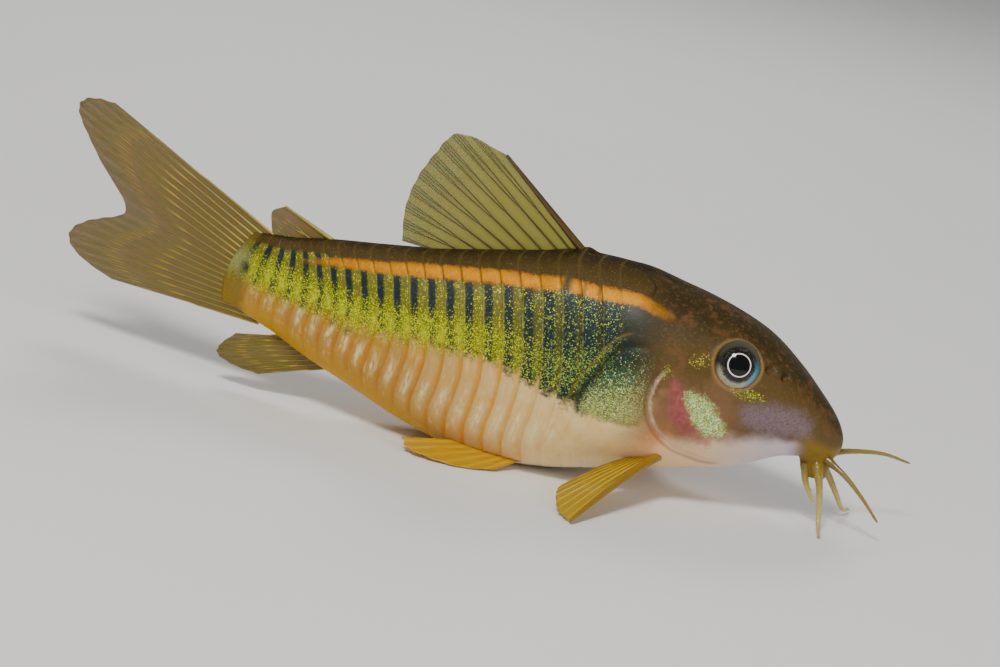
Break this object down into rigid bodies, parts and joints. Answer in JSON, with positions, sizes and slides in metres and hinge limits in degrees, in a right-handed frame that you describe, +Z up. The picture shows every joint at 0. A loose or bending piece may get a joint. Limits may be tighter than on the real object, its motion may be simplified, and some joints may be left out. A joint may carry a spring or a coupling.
{
  "type": "corydoras catfish model",
  "caption": "Life-size corydoras catfish resting on its belly and paired fins, with plated flanks, swept fins and drooping barbels.",
  "frame": {"origin": "middle of the small flat under the belly on which the fish rests, at floor level", "axes": "+X towards the snout, +Y towards the fish's left side, +Z up"},
  "size_m": [0.0796, 0.033, 0.0271],
  "materials": {
    "skin": "moist plated skin, brown back, orange stripe, green-gold flank and cream belly",
    "fin": "thin olive-yellow membrane over brown rays",
    "barbel": "soft moist pale skin",
    "eye": "glossy dark eye with a thin pale ring"
  },
  "bodies": {
    "root": {"head": "skin", "gill_cover_right": "skin", "gill_cover_left": "skin", "torso": "skin", "tail": "skin", "eye_right": "eye", "eye_left": "eye", "fin_dorsal": "fin", "fin_adipose": "fin", "fin_anal": "fin", "fin_tail_upper": "fin", "fin_tail_lower": "fin", "fin_pectoral_right": "fin", "fin_pectoral_left": "fin", "fin_pelvic_right": "fin", "fin_pelvic_left": "fin", "barbel_long_right": "barbel", "barbel_long_left": "barbel", "barbel_front_right": "barbel", "barbel_front_left": "barbel", "barbel_lip_right": "barbel", "barbel_lip_left": "barbel"}
  },
  "joints": []
}
